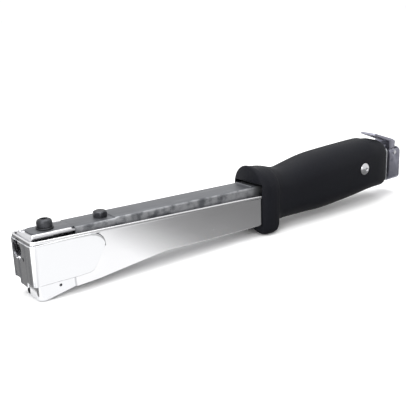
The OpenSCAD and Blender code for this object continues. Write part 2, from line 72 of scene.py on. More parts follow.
# %% [markdown]
# ## Places
#
# Every piece takes its place from the box of the part that it stands for. A size that the
# boxes don't tell, such as a bend radius, is a named value here, in millimetres.

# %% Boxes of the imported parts, in millimetres


def box(node):
    """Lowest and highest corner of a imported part, in millimetres."""
    low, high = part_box(node)
    return Vector(low) / MM, Vector(high) / MM


joint = {j["name"]: j for j in frame["joints"]}
pivot_x = joint["hammer_swing"]["pos_m"][0] / MM
pivot_z = joint["hammer_swing"]["pos_m"][2] / MM
case_low, case_high = box("casing")
cover_low, cover_high = box("head_cover")
nose_low, nose_high = box("nose_shell")
arm_low, arm_high = box("hammer_arm")
print("pivot at", round(pivot_x), round(pivot_z), "mm")

# %% [markdown]
# ## Building meshes
#
# Most parts of this tool are folded sheet, turned pins or a moulding. So three builders
# make nearly everything: a wall swept round a folded plan, a loft through closed
# sections, and a turned profile. Each gives clean quads, which keep the long reflections
# in chrome straight.

# %% Mesh builders


def make_piece(name, points, faces, node, slot, body, crease=32):
    """A piece from points in millimetres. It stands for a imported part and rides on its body."""
    mesh = bpy.data.meshes.new(name)
    mesh.from_pydata([Vector(p) * MM for p in points], [], faces)
    mesh.update()
    work = bmesh.new()
    work.from_mesh(mesh)
    bmesh.ops.remove_doubles(work, verts=work.verts, dist=0.002 * MM)
    bmesh.ops.recalc_face_normals(work, faces=work.faces)
    work.to_mesh(mesh)
    work.free()
    mesh.shade_smooth()
    mesh.set_sharp_from_angle(angle=math.radians(crease))
    piece = bpy.data.objects.new(name, mesh)
    bpy.context.scene.collection.objects.link(piece)
    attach(piece, body)
    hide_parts(node)
    return piece


def skin(rings):
    """Quads between rings of the same length, with flat ends."""
    count = len(rings[0])
    points = [p for ring in rings for p in ring]
    faces = []
    for i in range(len(rings) - 1):
        for j in range(count):
            k = (j + 1) % count
            faces.append((i * count + j, i * count + k, (i + 1) * count + k, (i + 1) * count + j))
    last = (len(rings) - 1) * count
    faces.append(tuple(range(count))[::-1])
    faces.append(tuple(range(last, last + count)))
    return points, faces


def settle(piece, crease=32):
    """Applies a piece's modifiers, so that it keeps a plain mesh."""
    graph = bpy.context.evaluated_depsgraph_get()
    mesh = bpy.data.meshes.new_from_object(piece.evaluated_get(graph))
    piece.modifiers.clear()
    piece.data = mesh
    mesh.set_sharp_from_angle(angle=math.radians(crease))


def cut(piece, cutters, crease=32):
    """Cuts solids, given as (points, faces) in millimetres, out of a piece."""
    made = []
    for points, faces in cutters:
        mesh = bpy.data.meshes.new("cutter")
        mesh.from_pydata([Vector(p) * MM for p in points], [], faces)
        work = bmesh.new()
        work.from_mesh(mesh)
        bmesh.ops.recalc_face_normals(work, faces=work.faces)
        work.to_mesh(mesh)
        work.free()
        tool = bpy.data.objects.new("cutter", mesh)
        bpy.context.scene.collection.objects.link(tool)
        step = piece.modifiers.new("cut", "BOOLEAN")
        step.operation = "DIFFERENCE"
        step.object = tool
        made.append(tool)
    settle(piece, crease)
    for tool in made:
        bpy.data.objects.remove(tool)


def soften(piece, width, segments=2, angle=35, crease=32):
    """Rounds a piece's hard edges, as tumbling and plating do."""
    step = piece.modifiers.new("edges", "BEVEL")
    step.width = width * MM
    step.segments = segments
    step.limit_method = "ANGLE"
    step.angle_limit = math.radians(angle)
    step.harden_normals = False
    settle(piece, crease)


def prism(outline, low_y, high_y):
    """An [x, z] outline between two places across the tool, as points and faces."""
    rings = [[(x, y, z) for x, z in outline] for y in (low_y, high_y)]
    return skin(rings)


def rod(centre, axis, radius, length, sides=48):
    """A round cutter or pin along one axis, centred on a point."""
    rings = []
    for end in (-length / 2, length / 2):
        ring = []
        for i in range(sides):
            a = 2 * math.pi * i / sides
            flat = [radius * math.cos(a), radius * math.sin(a)]
            flat.insert(axis, end)
            ring.append(tuple(c + f for c, f in zip(centre, flat)))
        rings.append(ring)
    return skin(rings)


def block(low, high):
    """A box-shaped cutter."""
    outline = [(low[0], low[2]), (high[0], low[2]), (high[0], high[2]), (low[0], high[2])]
    return prism(outline, low[1], high[1])


def turned(profile, centre, axis="z", sides=56):
    """Points and faces of a profile of (radius, height) steps turned round an axis."""
    rings = []
    for radius, height in profile:
        ring = []
        for i in range(sides):
            a = 2 * math.pi * i / sides
            u, v = radius * math.cos(a), radius * math.sin(a)
            ring.append({
                "z": (centre[0] + u, centre[1] + v, centre[2] + height),
                "y": (centre[0] + u, centre[1] + height, centre[2] + v),
                "-y": (centre[0] + u, centre[1] - height, centre[2] + v),
            }[axis])
        rings.append(ring)
    return skin(rings)


def line(steps, x):
    """Height on a broken line of (x, height) steps."""
    if x <= steps[0][0]:
        return steps[0][1]
    for (x0, z0), (x1, z1) in zip(steps, steps[1:]):
        if x <= x1:
            return z0 + (z1 - z0) * (x - x0) / (x1 - x0)
    return steps[-1][1]


def flow(steps, x, column):
    """A smooth curve through one column of stations that are sorted by x."""
    if x <= steps[0][0]:
        return steps[0][column]
    for i in range(len(steps) - 1):
        x0, x1 = steps[i][0], steps[i + 1][0]
        if x <= x1:
            before = steps[max(i - 1, 0)]
            after = steps[min(i + 2, len(steps) - 1)]
            a, b = steps[i][column], steps[i + 1][column]
            slope_a = (b - before[column]) / (x1 - before[0])
            slope_b = (after[column] - a) / (after[0] - x0)
            t = (x - x0) / (x1 - x0)
            h = x1 - x0
            return ((2 * t**3 - 3 * t**2 + 1) * a + (t**3 - 2 * t**2 + t) * h * slope_a
                    + (3 * t**2 - 2 * t**3) * b + (t**3 - t**2) * h * slope_b)
    return steps[-1][column]


def fold_path(front_x, half_w, radius, back_x, stops=(), across=16, step=6.0):
    """Plan of a folded sheet: points and outward directions, from one back end to the other.

    stops are places along x that need a point of their own."""
    runs = max(2, int((back_x - front_x - radius) / step))
    places = {back_x + (front_x + radius - back_x) * i / runs for i in range(runs)}
    places |= {x for x in stops if x > front_x + radius + 0.2}
    path = [(x, -half_w, 0, -1) for x in sorted(places, reverse=True)]
    turns = 10
    for i in range(turns + 1):
        a = math.pi / 2 * i / turns
        path.append((front_x + radius - radius * math.sin(a), -half_w + radius - radius * math.cos(a),
                     -math.sin(a), -math.cos(a)))
    mirrored = [(x, -y, nx, -ny) for x, y, nx, ny in reversed(path)]
    inner = half_w - radius
    path += [(front_x, -inner + 2 * inner * i / across, -1, 0) for i in range(1, across)]
    return path + mirrored


def swept_wall(path, thickness, low, high, rim=0.0, rim_h=1.8):
    """A folded sheet wall with round edges. low and high give its height at (x, y)."""
    rings = []
    r = thickness / 2
    for x, y, nx, ny in path:
        bottom, top = low(x, y), high(x, y)
        outline = [(0, bottom + r), (0, bottom + r + 0.4)]
        outline += [(0, top - rim_h - 0.5), (rim, top - rim_h), (rim, top - r)]
        for i in range(1, 8):
            a = math.pi * i / 8
            outline.append(((rim - r) + r * math.cos(a), top - r + r * math.sin(a)))
        outline += [(-thickness + rim, top - r), (-thickness, top - rim_h), (-thickness, bottom + r + 0.4)]
        for i in range(8):
            a = math.pi * i / 8
            outline.append((-r - r * math.cos(a), bottom + r - r * math.sin(a)))
        rings.append([(x + nx * d, y + ny * d, z) for d, z in outline])
    return skin(rings)


print("builders ready")

# %% [markdown]
# ## Writing a finish as sums
#
# A finish is a small calculation that is done at every point of the surface. Wired by hand
# it is a tangle, so two small classes let it be written as ordinary sums. A Wire is the
# output of a node and knows plus, minus and times. A Finish holds one material and adds
# any other node.

# %% Wires and finishes


class Wire:
    """The output of a shader node, usable in sums."""

    def __init__(self, finish, socket):
        self.finish = finish
        self.socket = socket

    def math(self, operation, first, second):
        return self.finish.add("ShaderNodeMath", {"operation": operation}, {0: first, 1: second})

    def __add__(self, other):
        return self.math("ADD", self, other)

    def __sub__(self, other):
        return self.math("SUBTRACT", self, other)

    def __rsub__(self, other):
        return self.math("SUBTRACT", other, self)

    def __mul__(self, other):
        return self.math("MULTIPLY", self, other)

    __radd__ = __add__
    __rmul__ = __mul__


class Finish:
    """One material: its node tree, its shader and a method that adds any node."""

    def __init__(self, name):
        self.material = bpy.data.materials.new(name)
        self.material.use_nodes = True
        self.tree = self.material.node_tree
        self.shader = self.tree.nodes["Principled BSDF"]
        self.place = self.add("ShaderNodeTexCoord", {}, {}, "Object")

    def feed(self, target, value):
        if isinstance(value, Wire):
            self.tree.links.new(value.socket, target)
        else:
            target.default_value = value

    def add(self, kind, settings, sockets, out=0):
        """Adds a node. Its settings come first, then the values or wires of its sockets."""
        node = self.tree.nodes.new(kind)
        for key, value in settings.items():
            if key == "stops":
                while len(node.color_ramp.elements) < len(value):
                    node.color_ramp.elements.new(0.5)
                for element, (at, shade) in zip(node.color_ramp.elements, value):
                    element.position = at
                    element.color = shade
            else:
                setattr(node, key, value)
        for key, value in sockets.items():
            self.feed(node.inputs[key], value)
        return Wire(self, node.outputs[out])

    def surface(self, **sockets):
        """Sets the shader's own sockets, with underscores for the spaces in their names."""
        for key, value in sockets.items():
            self.feed(self.shader.inputs[key.replace("_", " ")], value)

    def noise(self, scale, stretch=(1, 1, 1), detail=3.0, rough=0.55):
        """Noise from 0 to 1, with scale in features per metre and stretch along x, y and z."""
        where = self.place
        if stretch != (1, 1, 1):
            where = self.add("ShaderNodeVectorMath", {"operation": "MULTIPLY"}, {0: where, 1: stretch})
        return self.add("ShaderNodeTexNoise", {},
                        {"Vector": where, "Scale": scale, "Detail": detail, "Roughness": rough})

    def step(self, value, low, high, at_low=0.0, at_high=1.0):
        """A smooth step from one level to another as the value passes from low to high."""
        return self.add("ShaderNodeMapRange", {"interpolation_type": "SMOOTHSTEP"},
                        {0: value, 1: low, 2: high, 3: at_low, 4: at_high})

    def blend(self, amount, first, second):
        """A colour between two colours."""
        return self.add("ShaderNodeMix", {"data_type": "RGBA"}, {0: amount, 6: first, 7: second}, 2)

    def bump(self, height, depth, under=None):
        """Bends the surface by a height. depth is in metres."""
        sockets = {"Height": height, "Distance": depth, "Strength": 1.0}
        if under:
            sockets["Normal"] = under
        return self.add("ShaderNodeBump", {}, sockets)

    def axis(self, index):
        """One coordinate of the surface point, in metres."""
        return self.add("ShaderNodeSeparateXYZ", {}, {0: self.place}, index)


def tone(red, green, blue):
    return (red, green, blue, 1.0)


finishes = {}
print("finishes can be written")

# %% [markdown]
# ## Chrome plate
#
# Chrome is nearly a mirror, so its colour is the room's. What makes it read as metal and not
# as a hole is small: the sheet under it isn't quite flat, polishing leaves hairlines along
# its length, and handling leaves a haze. So a wide, shallow noise bends the reflections,
# a stretched noise makes the hairlines, and a third one varies the roughness.

# %% Chrome of the casing


def casing_chrome():
    finish = Finish("chrome plate")
    waves = finish.noise(14, (0.6, 1, 1), 1.0)
    hairlines = finish.noise(900, (0.03, 1, 1), 2.0)
    haze = finish.noise(45, (0.5, 1, 1), 4.0)
    specks = finish.step(finish.noise(420, detail=2.0), 0.70, 0.76)
    finish.surface(
        Base_Color=finish.blend(haze, tone(0.70, 0.70, 0.715), tone(0.80, 0.80, 0.81)),
        Metallic=1.0,
        Roughness=0.09 + 0.10 * haze + 0.05 * hairlines + 0.12 * specks,
        Normal=finish.bump(hairlines, 0.000004, finish.bump(waves, 0.0006)),
    )
    return finish


finishes["casing_chrome"] = casing_chrome()
print("made", finishes["casing_chrome"].material.name)

# %% [markdown]
# ## Drawn chrome of the head
#
# The head cover and the nose are drawn and folded from one strip. The tool leaves fine
# lines that run down the plate, which the chrome doesn't hide, and light breaks into soft
# upright bands on them. A noise that is stretched along z gives both sizes of line. On the
# front face those bands of light are also painted into the colour, as darker bands of painted reflection.

# %% Chrome of the head cover and nose


def cover_chrome():
    finish = Finish("drawn chrome")
    bands = finish.noise(260, (1, 1, 0.06), 2.0)
    lines = finish.noise(1500, (1, 1, 0.02), 2.0)
    haze = finish.noise(70, detail=4.0)
    front = finish.step(finish.axis(0), -0.0045, -0.0015, 1.0, 0.0)
    # Painted reflection: darker upright bands on the front face only, standing for the bands that light makes on
    # the drawn lines
    painted_reflection_bands = finish.step(bands, 0.42, 0.66) * front
    finish.surface(
        Base_Color=finish.blend(painted_reflection_bands, tone(0.74, 0.745, 0.76), tone(0.42, 0.43, 0.46)),
        Metallic=1.0,
        Roughness=0.10 + 0.10 * haze + 0.16 * painted_reflection_bands,
        Normal=finish.bump(lines, 0.000004, finish.bump(bands, 0.00004)),
    )
    return finish


finishes["cover_chrome"] = cover_chrome()
print("made", finishes["cover_chrome"].material.name)

# %% [markdown]
# ## Dark steel of the arm
#
# The arm is hot-rolled bar with a thin grey coat. Rolling streaks run along it, the coat is
# a little mottled, and bright steel shows where it rubs: along its two top edges. The
# distance across the tool gives the edges, so no texture is needed.

# %% Steel of the arm


def arm_steel():
    finish = Finish("dark rolled steel")
    streaks = finish.noise(500, (0.05, 1, 1), 4.0)
    mottle = finish.noise(110, detail=5.0)
    across_y = finish.axis(1)
    half_w = arm_high.y * MM
    edge = finish.step(across_y * across_y, (half_w - 0.0011)**2, (half_w - 0.0002)**2)
    rubbed = edge * finish.step(mottle, 0.35, 0.6)
    coat = finish.blend(mottle, tone(0.085, 0.089, 0.098), tone(0.16, 0.165, 0.178))
    streaked = finish.blend(finish.step(streaks, 0.5, 0.75, 0.0, 0.5), coat, tone(0.21, 0.215, 0.23))
    finish.surface(
        Base_Color=finish.blend(rubbed, streaked, tone(0.36, 0.365, 0.38)),
        Metallic=0.85,
        Roughness=0.36 + 0.18 * mottle - 0.10 * rubbed,
        Normal=finish.bump(streaks, 0.00002, finish.bump(mottle, 0.00004)),
    )
    return finish


finishes["arm_steel"] = arm_steel()
print("made", finishes["arm_steel"].material.name)

# %% [markdown]
# ## Moulded rubber of the grip
#
# The grip is soft black plastic with a touch of blue. Its mould was spark-eroded, so the
# skin has an even, fine grain, and hands polish it in places. A fine noise makes the grain,
# a coarser one makes it slightly uneven, and the polish is a wide, weak change of roughness.

# %% Rubber of the grip and the buffer


def rubber(name, dark, light, dusty, grain):
    finish = Finish(name)
    skin_grain = finish.noise(grain, detail=2.0)
    patches = finish.noise(55, detail=3.0)
    dust = finish.step(finish.noise(grain * 0.4, detail=6.0), 0.55, 0.8, 0.0, 0.5)
    finish.surface(
        Base_Color=finish.blend(dust, finish.blend(patches, dark, light), dusty),
        Roughness=0.56 + 0.14 * patches + 0.10 * skin_grain,
        Specular_IOR_Level=0.22,
        Normal=finish.bump(skin_grain, 0.00008, finish.bump(patches, 0.0002)),
    )
    return finish


finishes["grip_rubber"] = rubber("grained black rubber", tone(0.0012, 0.0016, 0.0040),
                                 tone(0.0026, 0.0032, 0.0068), tone(0.009, 0.010, 0.014), 1900)
finishes["buffer_rubber"] = rubber("buffer rubber", tone(0.010, 0.010, 0.010),
                                   tone(0.024, 0.023, 0.022), tone(0.035, 0.035, 0.035), 900)
print("made", finishes["grip_rubber"].material.name, "and", finishes["buffer_rubber"].material.name)

# %% [markdown]
# ## Small metal parts
#
# The other metals differ in colour, in gloss and in the direction of their working marks:
# round the axis on turned pins, along the strip on sheet. One function makes them, from two
# shades, a roughness, the size of the mottle and the stretch of the marks. Zinc gets a
# crystal pattern as well, because a plated part shows it as a patchwork.

# %% Finishes of the small metal parts


def metal(slot, name, dark, light, gloss, mottle_scale, marks=(1, 1, 1), crystals=0.0):
    finish = Finish(name)
    mottle = finish.noise(mottle_scale, detail=4.0)
    lines = finish.noise(1100, marks, 2.0)
    shade = mottle
    if crystals:
        cells = finish.add("ShaderNodeTexVoronoi", {}, {"Vector": finish.place, "Scale": crystals}, "Color")
        spangle = finish.add("ShaderNodeSeparateXYZ", {}, {0: cells}, 0)
        shade = 0.55 * mottle + 0.45 * spangle
    finish.surface(
        Base_Color=finish.blend(shade, dark, light),
        Metallic=1.0,
        Roughness=gloss + 0.16 * mottle + 0.08 * lines,
        Normal=finish.bump(lines, 0.00001, finish.bump(mottle, 0.00003)),
    )
    finishes[slot] = finish
    print("made", name)


metal("hardened_steel", "oil-black hardened steel", tone(0.07, 0.072, 0.08),
      tone(0.15, 0.15, 0.165), 0.26, 120, (1, 1, 0.05))
metal("zinc_sheet", "zinc-plated sheet", tone(0.30, 0.31, 0.33),
      tone(0.55, 0.56, 0.59), 0.30, 90, (0.1, 1, 1), 260)
metal("latch_zinc", "zinc-plated latch steel", tone(0.17, 0.17, 0.21),
      tone(0.33, 0.33, 0.385), 0.36, 130, (1, 0.1, 1), 300)
metal("bronze", "sintered bronze", tone(0.30, 0.17, 0.06), tone(0.52, 0.34, 0.15), 0.38, 600)
metal("bright_steel", "bright turned steel", tone(0.52, 0.52, 0.54),
      tone(0.78, 0.78, 0.80), 0.18, 160, (0.2, 1, 1))
metal("black_oxide", "black oxide", tone(0.022, 0.023, 0.026), tone(0.095, 0.097, 0.105), 0.30, 210)
metal("spring_steel", "spring wire", tone(0.24, 0.24, 0.26), tone(0.44, 0.44, 0.46), 0.24, 200)

# %% [markdown]
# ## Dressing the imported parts
#
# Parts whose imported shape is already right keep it: the nose block, the channel, the rail,
# pins, plates and the blade. They only take their finish here. The pieces that are made
# next replace the others.

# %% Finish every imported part

slot_of = {part["node"]: part["material_slot"] for part in frame["record"]["subparts"]}
for name, part in frame["nodes"].items():
    part.data.materials.clear()
    part.data.materials.append(finishes[slot_of[name]].material)
print("dressed", len(slot_of), "packed parts")


def dress(piece, slot):
    """Gives a new piece the finish of its material slot."""
    piece.data.materials.clear()
    piece.data.materials.append(finishes[slot].material)
    print("made", piece.name, "with", len(piece.data.polygons), "faces")

# %% [markdown]
# ## The casing
#
# The casing is one strip of sheet, folded round the front corners and open above. Its upper
# edge is rolled into a bead, which is the bright line along the whole tool. A box with a
# bevel would lose that bead, so the wall's section is swept round the folded plan, and the
# section's lower and upper ends follow the side outline.

# %% Casing

SHEET_T = 1.4
CORNER_R = 3.4
RIM_FALL = 0.045
SIGHT_Y = 4.2
SIGHT_R = 6.0
SIGHT_DROP = 8.5
LOCATING_Y = -3.6
LOCATING_R = 1.1
LOCATING_DROP = SIGHT_DROP + 4.3
MOUTH_RISE = 12.6
channel_low_z = box("channel_sides")[0].z
channel_top_z = box("channel_roof")[1].z
kink_z = channel_low_z + 0.7
case_edge = [
    (case_low.x, channel_low_z + 2.6), (21.4, channel_low_z + 2.6), (21.6, kink_z - 6.2),
    (38, kink_z - 5.4), (67, kink_z - 2.3), (89, kink_z), (117, kink_z - 1),
    (case_high.x, kink_z - 2.4),
]


def case_top(x):
    return case_high.z - RIM_FALL * (x - case_low.x)


def join(*parts):
    """Several meshes, given as (points, faces), as one."""
    points, faces = [], []
    for some_points, some_faces in parts:
        start = len(points)
        points += some_points
        faces += [tuple(start + i for i in face) for face in some_faces]
    return points, faces


def case_lips(side):
    """The strip that is folded inwards along the lower edge, up to the channel."""
    inner_y, outer_y = box("channel_sides")[1].y + 0.05, case_high.y - SHEET_T + 0.1
    lower = [p for p in case_edge if p[0] > 30]
    outline = lower + [(x, z + SHEET_T) for x, z in reversed(lower)]
    return prism(outline, side * inner_y, side * outer_y)


wall = swept_wall(
    fold_path(case_low.x, case_high.y, CORNER_R, case_high.x, stops=[x for x, z in case_edge[1:-1]]),
    SHEET_T, lambda x, y: line(case_edge, x), lambda x, y: case_top(x), rim=0.45)
casing = make_piece("casing_wall", *join(wall, case_lips(-1), case_lips(1)),
                    "casing", "casing_chrome", "casing_body")
mouth_half = arm_high.y + 1.2
sight_z = case_top(cover_low.x) - SIGHT_DROP
locating_z = case_top(cover_low.x) - LOCATING_DROP
cut(casing, [
    block((case_low.x - 1, -mouth_half, -1),
          (case_low.x + SHEET_T + 0.4, mouth_half, channel_low_z + MOUTH_RISE)),
    rod((case_low.x, SIGHT_Y, sight_z), 0, SIGHT_R + 0.8, 4),
    rod((case_low.x, LOCATING_Y, locating_z), 0, LOCATING_R, 6),
])
dress(casing, "casing_chrome")

# %% [markdown]
# ## The head cover
#
# The head cover is a thicker plate that wraps the front of the casing. Its two wings end in
# a slanted edge with round corners. The plate's front has a sight hole, a small locating
# hole, a tongue over the nose and a slit lobe beside it. The same sweep makes it, with an
# outline for its upper and its lower edge, and solids cut the openings.

# %% Head cover

COVER_T = 1.1
COVER_R = 4.5
WING_END_X = 42.6
SLIT_Y = 9.0
SLIT_W = 1.1
SLIT_H = 3.0
wing_z = case_top(cover_low.x)
wing_top = [(20, wing_z - 2.4), (33.5, wing_z - 3.0), (36.8, wing_z - 3.9), (39.4, wing_z - 5.4),
            (41.4, wing_z - 7.6), (42.3, wing_z - 9.6), (WING_END_X, wing_z - 11.0)]
wing_low = [(cover_low.x, channel_low_z - 1.2), (-1.5, channel_low_z + 1.6), (23, channel_low_z + 1.2),
            (31, channel_low_z + 1.5), (33.4, channel_low_z + 2.4), (35.2, channel_low_z + 4.6),
            (42.2, wing_z - 12.6), (WING_END_X, wing_z - 11.6)]
lobe_low_z = channel_low_z + 1


def cover_low_edge(x, y):
    if x < cover_low.x + 0.1 and -6 < y < 4:
        return wing_low[0][1]
    return max(line(wing_low, x), lobe_low_z + (0.9 if x < cover_low.x + 0.1 else 0.0))


cover = make_piece("head_cover_plate", *swept_wall(
    fold_path(cover_low.x, cover_high.y, COVER_R, WING_END_X,
              stops=[x for x, z in wing_top[1:-1] + wing_low[2:-1]], across=62),
    COVER_T, cover_low_edge, lambda x, y: line(wing_top, x)),
    "head_cover", "cover_chrome", "casing_body")
cut(cover, [
    rod((cover_low.x, SIGHT_Y, sight_z), 0, SIGHT_R, 4),
    rod((cover_low.x, LOCATING_Y, locating_z), 0, LOCATING_R, 4),
    block((cover_low.x - 1, SLIT_Y, lobe_low_z + 1.2),
          (cover_low.x + 3, SLIT_Y + SLIT_W, lobe_low_z + 1.2 + SLIT_H)),
])
dress(cover, "cover_chrome")

# %% [markdown]
# ## The painted shadow round the wings
#
# Where the cover's wings end on the casing there is a fine gap, and its shade reads as a dark line
# round each wing. A line painted by a material would not follow the edge, so a thin dark
# strip of the wing's own outline, a little larger all round, lies behind each wing as painted shadow.

# %% Painted shadow round the wings

# Painted shadow: a thin dark strip, a little larger than each wing, stands for the shade in the gap round the
# wing's edge
WING_SHADOW_MARGIN = 0.35
WING_SHADOW_T = 0.12
wing_shadow_outline = ([(x + WING_SHADOW_MARGIN, z + WING_SHADOW_MARGIN) for x, z in wing_top]
                + [(x + WING_SHADOW_MARGIN, z - WING_SHADOW_MARGIN) for x, z in reversed(wing_low[1:])])
for side, name in ((-1, "near"), (1, "far")):
    strip = prism(wing_shadow_outline, side * (case_high.y - 0.1), side * (case_high.y + WING_SHADOW_T))
    painted_shadow_strip = make_piece(f"wing_painted_shadow_{name}", *strip, "casing", "black_oxide", "casing_body")
    dress(painted_shadow_strip, "black_oxide")

# %% [markdown]
# ## The nose
#
# The nose is a second folded plate under the cover, set back so that it can reach into
# corners. It carries the striking face. Its far front is cut away and shows the driver's
# track, and a slot lets a bent staple out.

# %% Nose

NOSE_T = 1.4
NOSE_R = 4.0
NOSE_HOLE = (11.7, 0, 7.4)
NOSE_HOLE_R = 0.95
CUT_AWAY_Y = 5.0
TRACK_Y = (0.6, 4.2)
nose_edge = [(nose_low.x, 0), (2.5, 0), (21.5, channel_low_z - 5.8), (23.4, channel_low_z - 2.8),
             (nose_high.x, channel_low_z + 0.5)]
nose_top = [(4, channel_low_z + 3), (4.6, channel_low_z + 8.6)]
nose = make_piece("nose_plate", *swept_wall(
    fold_path(nose_low.x, nose_high.y, NOSE_R, nose_high.x, stops=[2.5, 4, 4.6, 21.5, 23.4], across=40),
    NOSE_T, lambda x, y: line(nose_edge, x), lambda x, y: line(nose_top, x)),
    "nose_shell", "cover_chrome", "casing_body")
cut(nose, [
    rod(NOSE_HOLE, 1, NOSE_HOLE_R, 40),
    block((nose_low.x - 1, CUT_AWAY_Y, -1), (2.2, nose_high.y + 1, channel_low_z - 0.4)),
    block((nose_low.x - 1, TRACK_Y[0], 1.2), (0, TRACK_Y[1], channel_low_z + 0.2)),
])
dress(nose, "cover_chrome")

# %% [markdown]
# ## The arm
#
# The arm is a bar pressed to a U with soft outer corners, closed side up. Light runs along
# those corners, so they are real arcs in the section, and the section is lofted along the
# bar. The top steps down a little for the front part. A thin ridge across the bar stops the
# grip's guard, and a flat ear on each side carries the pivot.

# %% Arm bar

ARM_FALL = 0.028
STEP_X = 54
STEP_H = 0.6
WEB_T = 3.0
FLANGE_T = 1.7
FLANGE_H = 9.0
ARM_R = 1.3
bar_front_x = 26
bar_back_x = pivot_x - 19


def arm_top(x):
    return arm_high.z + STEP_H - ARM_FALL * x


def bar_section(x, top):
    """The U section of the bar at x, with round outer corners."""
    half = arm_high.y
    under = arm_top(x) - WEB_T
    low = under - line([(bar_front_x, 5.4), (bar_front_x + 1.2, 7.6), (bar_front_x + 4, FLANGE_H)], x)
    outline = [(half, low)]
    for i in range(7):
        a = math.pi / 2 * i / 6
        outline.append((half - ARM_R + ARM_R * math.cos(a), top - ARM_R + ARM_R * math.sin(a)))
    outline += [(-y, z) for y, z in reversed(outline)]
    outline += [(-half + FLANGE_T, low), (-half + FLANGE_T, under), (half - FLANGE_T, under),
                (half - FLANGE_T, low)]
    return [(x, y, z) for y, z in outline]


stations = [bar_front_x, bar_front_x + 1.2, bar_front_x + 4, 40, STEP_X - 0.4, STEP_X + 0.4]
stations += [STEP_X + (bar_back_x - STEP_X) * i / 12 for i in range(1, 13)]
bar_rings = [bar_section(x, arm_top(x) - (STEP_H if x < STEP_X else 0)) for x in stations]
flange_outline = [
    (bar_back_x - 6, arm_top(bar_back_x) - WEB_T - FLANGE_H), (pivot_x + 4, pivot_z - 8),
    (pivot_x + 9, pivot_z - 4), (pivot_x + 9, pivot_z + 4), (pivot_x + 5, pivot_z + 6.6),
    (bar_back_x + 4, pivot_z + 6.6), (bar_back_x - 6, arm_top(bar_back_x) - 2),
]
bar = make_piece("arm_bar", *skin(bar_rings), "hammer_arm", "arm_steel", "arm_body")
dress(bar, "arm_steel")
for side, outer in (("near", -arm_high.y), ("far", arm_high.y - FLANGE_T)):
    ear = make_piece(f"arm_ear_{side}", *prism(flange_outline, outer, outer + FLANGE_T),
                     "hammer_arm", "arm_steel", "arm_body")
    soften(ear, 0.3)
    dress(ear, "arm_steel")

# %% Arm tongue and ridge

TONGUE_HALF = 7.7
TONGUE_R = 4.5
RIDGE_R = 1.1
RIDGE_H = 0.75
ridge_x = case_high.x - 4.5


def tongue_plan():
    """Plan of the tongue: square at the back, with round front corners."""
    plan = [(bar_front_x + 0.5, TONGUE_HALF), (bar_front_x + 0.5, -TONGUE_HALF)]
    for i in range(9):
        a = math.pi / 2 * i / 8
        plan.append((arm_low.x + TONGUE_R - TONGUE_R * math.sin(a),
                     -TONGUE_HALF + TONGUE_R - TONGUE_R * math.cos(a)))
    return plan + [(x, -y) for x, y in reversed(plan[2:])]


tongue_rings = [[(x, y, arm_top(x) - STEP_H - sunk) for x, y in tongue_plan()] for sunk in (1.5, 0)]
tongue = make_piece("arm_tongue", *skin(tongue_rings), "hammer_arm", "arm_steel", "arm_body")
soften(tongue, 0.35)
dress(tongue, "arm_steel")

ridge_rings = []
for y in (-arm_high.y + ARM_R, arm_high.y - ARM_R):
    ridge_rings.append([(ridge_x + RIDGE_R * math.cos(math.pi * i / 8), y,
                         arm_top(ridge_x) - 0.2 + RIDGE_H * math.sin(math.pi * i / 8))
                        for i in range(9)])
ridge = make_piece("arm_ridge", *skin(ridge_rings), "hammer_arm", "arm_steel", "arm_body")
dress(ridge, "arm_steel")

# %% [markdown]
# ## The shoe under the tongue
#
# A bright steel shoe is bolted under the arm's tongue. Its front is bent down in a round
# nose, behind which the driver hangs, and it has a rolled rail along each side.

# %% Shoe

SHOE_R = 2.9
SHOE_DROP = 1.6
LIP_T = 1.8
shoe_low = box("driver_holder")[0]
shoe_top_z = arm_top(0) - SHOE_DROP
shoe_outline = [(bar_front_x, arm_top(bar_front_x) - WEB_T), (shoe_low.x + LIP_T, arm_top(0) - WEB_T),
                (shoe_low.x + LIP_T, shoe_low.z), (shoe_low.x, shoe_low.z)]
for i in range(9):
    a = math.pi / 2 * i / 8
    shoe_outline.append((shoe_low.x + SHOE_R - SHOE_R * math.cos(a),
                         shoe_top_z - SHOE_R + SHOE_R * math.sin(a)))
shoe_outline.append((bar_front_x, arm_top(bar_front_x) - SHOE_DROP))
shoe = make_piece("driver_shoe", *prism(shoe_outline, -arm_high.y, arm_high.y),
                  "driver_holder", "bright_steel", "arm_body")
soften(shoe, 0.3)
dress(shoe, "bright_steel")

# %% Rails of the shoe

RAIL_R = 1.45
RAIL_SUNK = 2.0


def capsule(x0, x1, y, z_at, r, sides=20, turns=6):
    """A bar along x with round ends."""
    quarter = [math.pi / 2 * i / turns for i in range(turns + 1)]
    ends = [(x0 + r - r * math.cos(a), r * math.sin(a)) for a in quarter]
    ends += [(x1 - r + r * math.sin(a), r * math.cos(a)) for a in quarter]
    around = [2 * math.pi * k / sides for k in range(sides)]
    rings = [[(x, y + radius * math.cos(a), z_at(x) + radius * math.sin(a)) for a in around]
             for x, radius in ends]
    return skin(rings)


def rail_z(x):
    return arm_top(x) - RAIL_SUNK


for side, y in (("near", -arm_high.y + RAIL_R), ("far", arm_high.y - RAIL_R)):
    rail = make_piece(f"shoe_rail_{side}",
                      *capsule(shoe_low.x + 1, bar_front_x - 1.2, y, rail_z, RAIL_R),
                      "driver_holder", "bright_steel", "arm_body")
    dress(rail, "bright_steel")

# %% [markdown]
# ## Bolts, washer and rivet
#
# Round heads are profiles turned round their axis. Real ones have a crowned top and a
# small round edge, and those catch the light. The front bolt has a hexagon socket. The
# second bolt has a hexagon head, whose corners are cut by a cone.

# %% Bolts and washer

SHANK_R = 2.4
SOCKET_R = 2.3
HEAD_LIFT = 0.17
washer_low, washer_high = box("driver_washer")
bolt_low, bolt_high = box("driver_bolt")
stop_low, stop_high = box("bumper_bolt")


def middle(low, high, z):
    return ((low.x + high.x) / 2, (low.y + high.y) / 2, z)


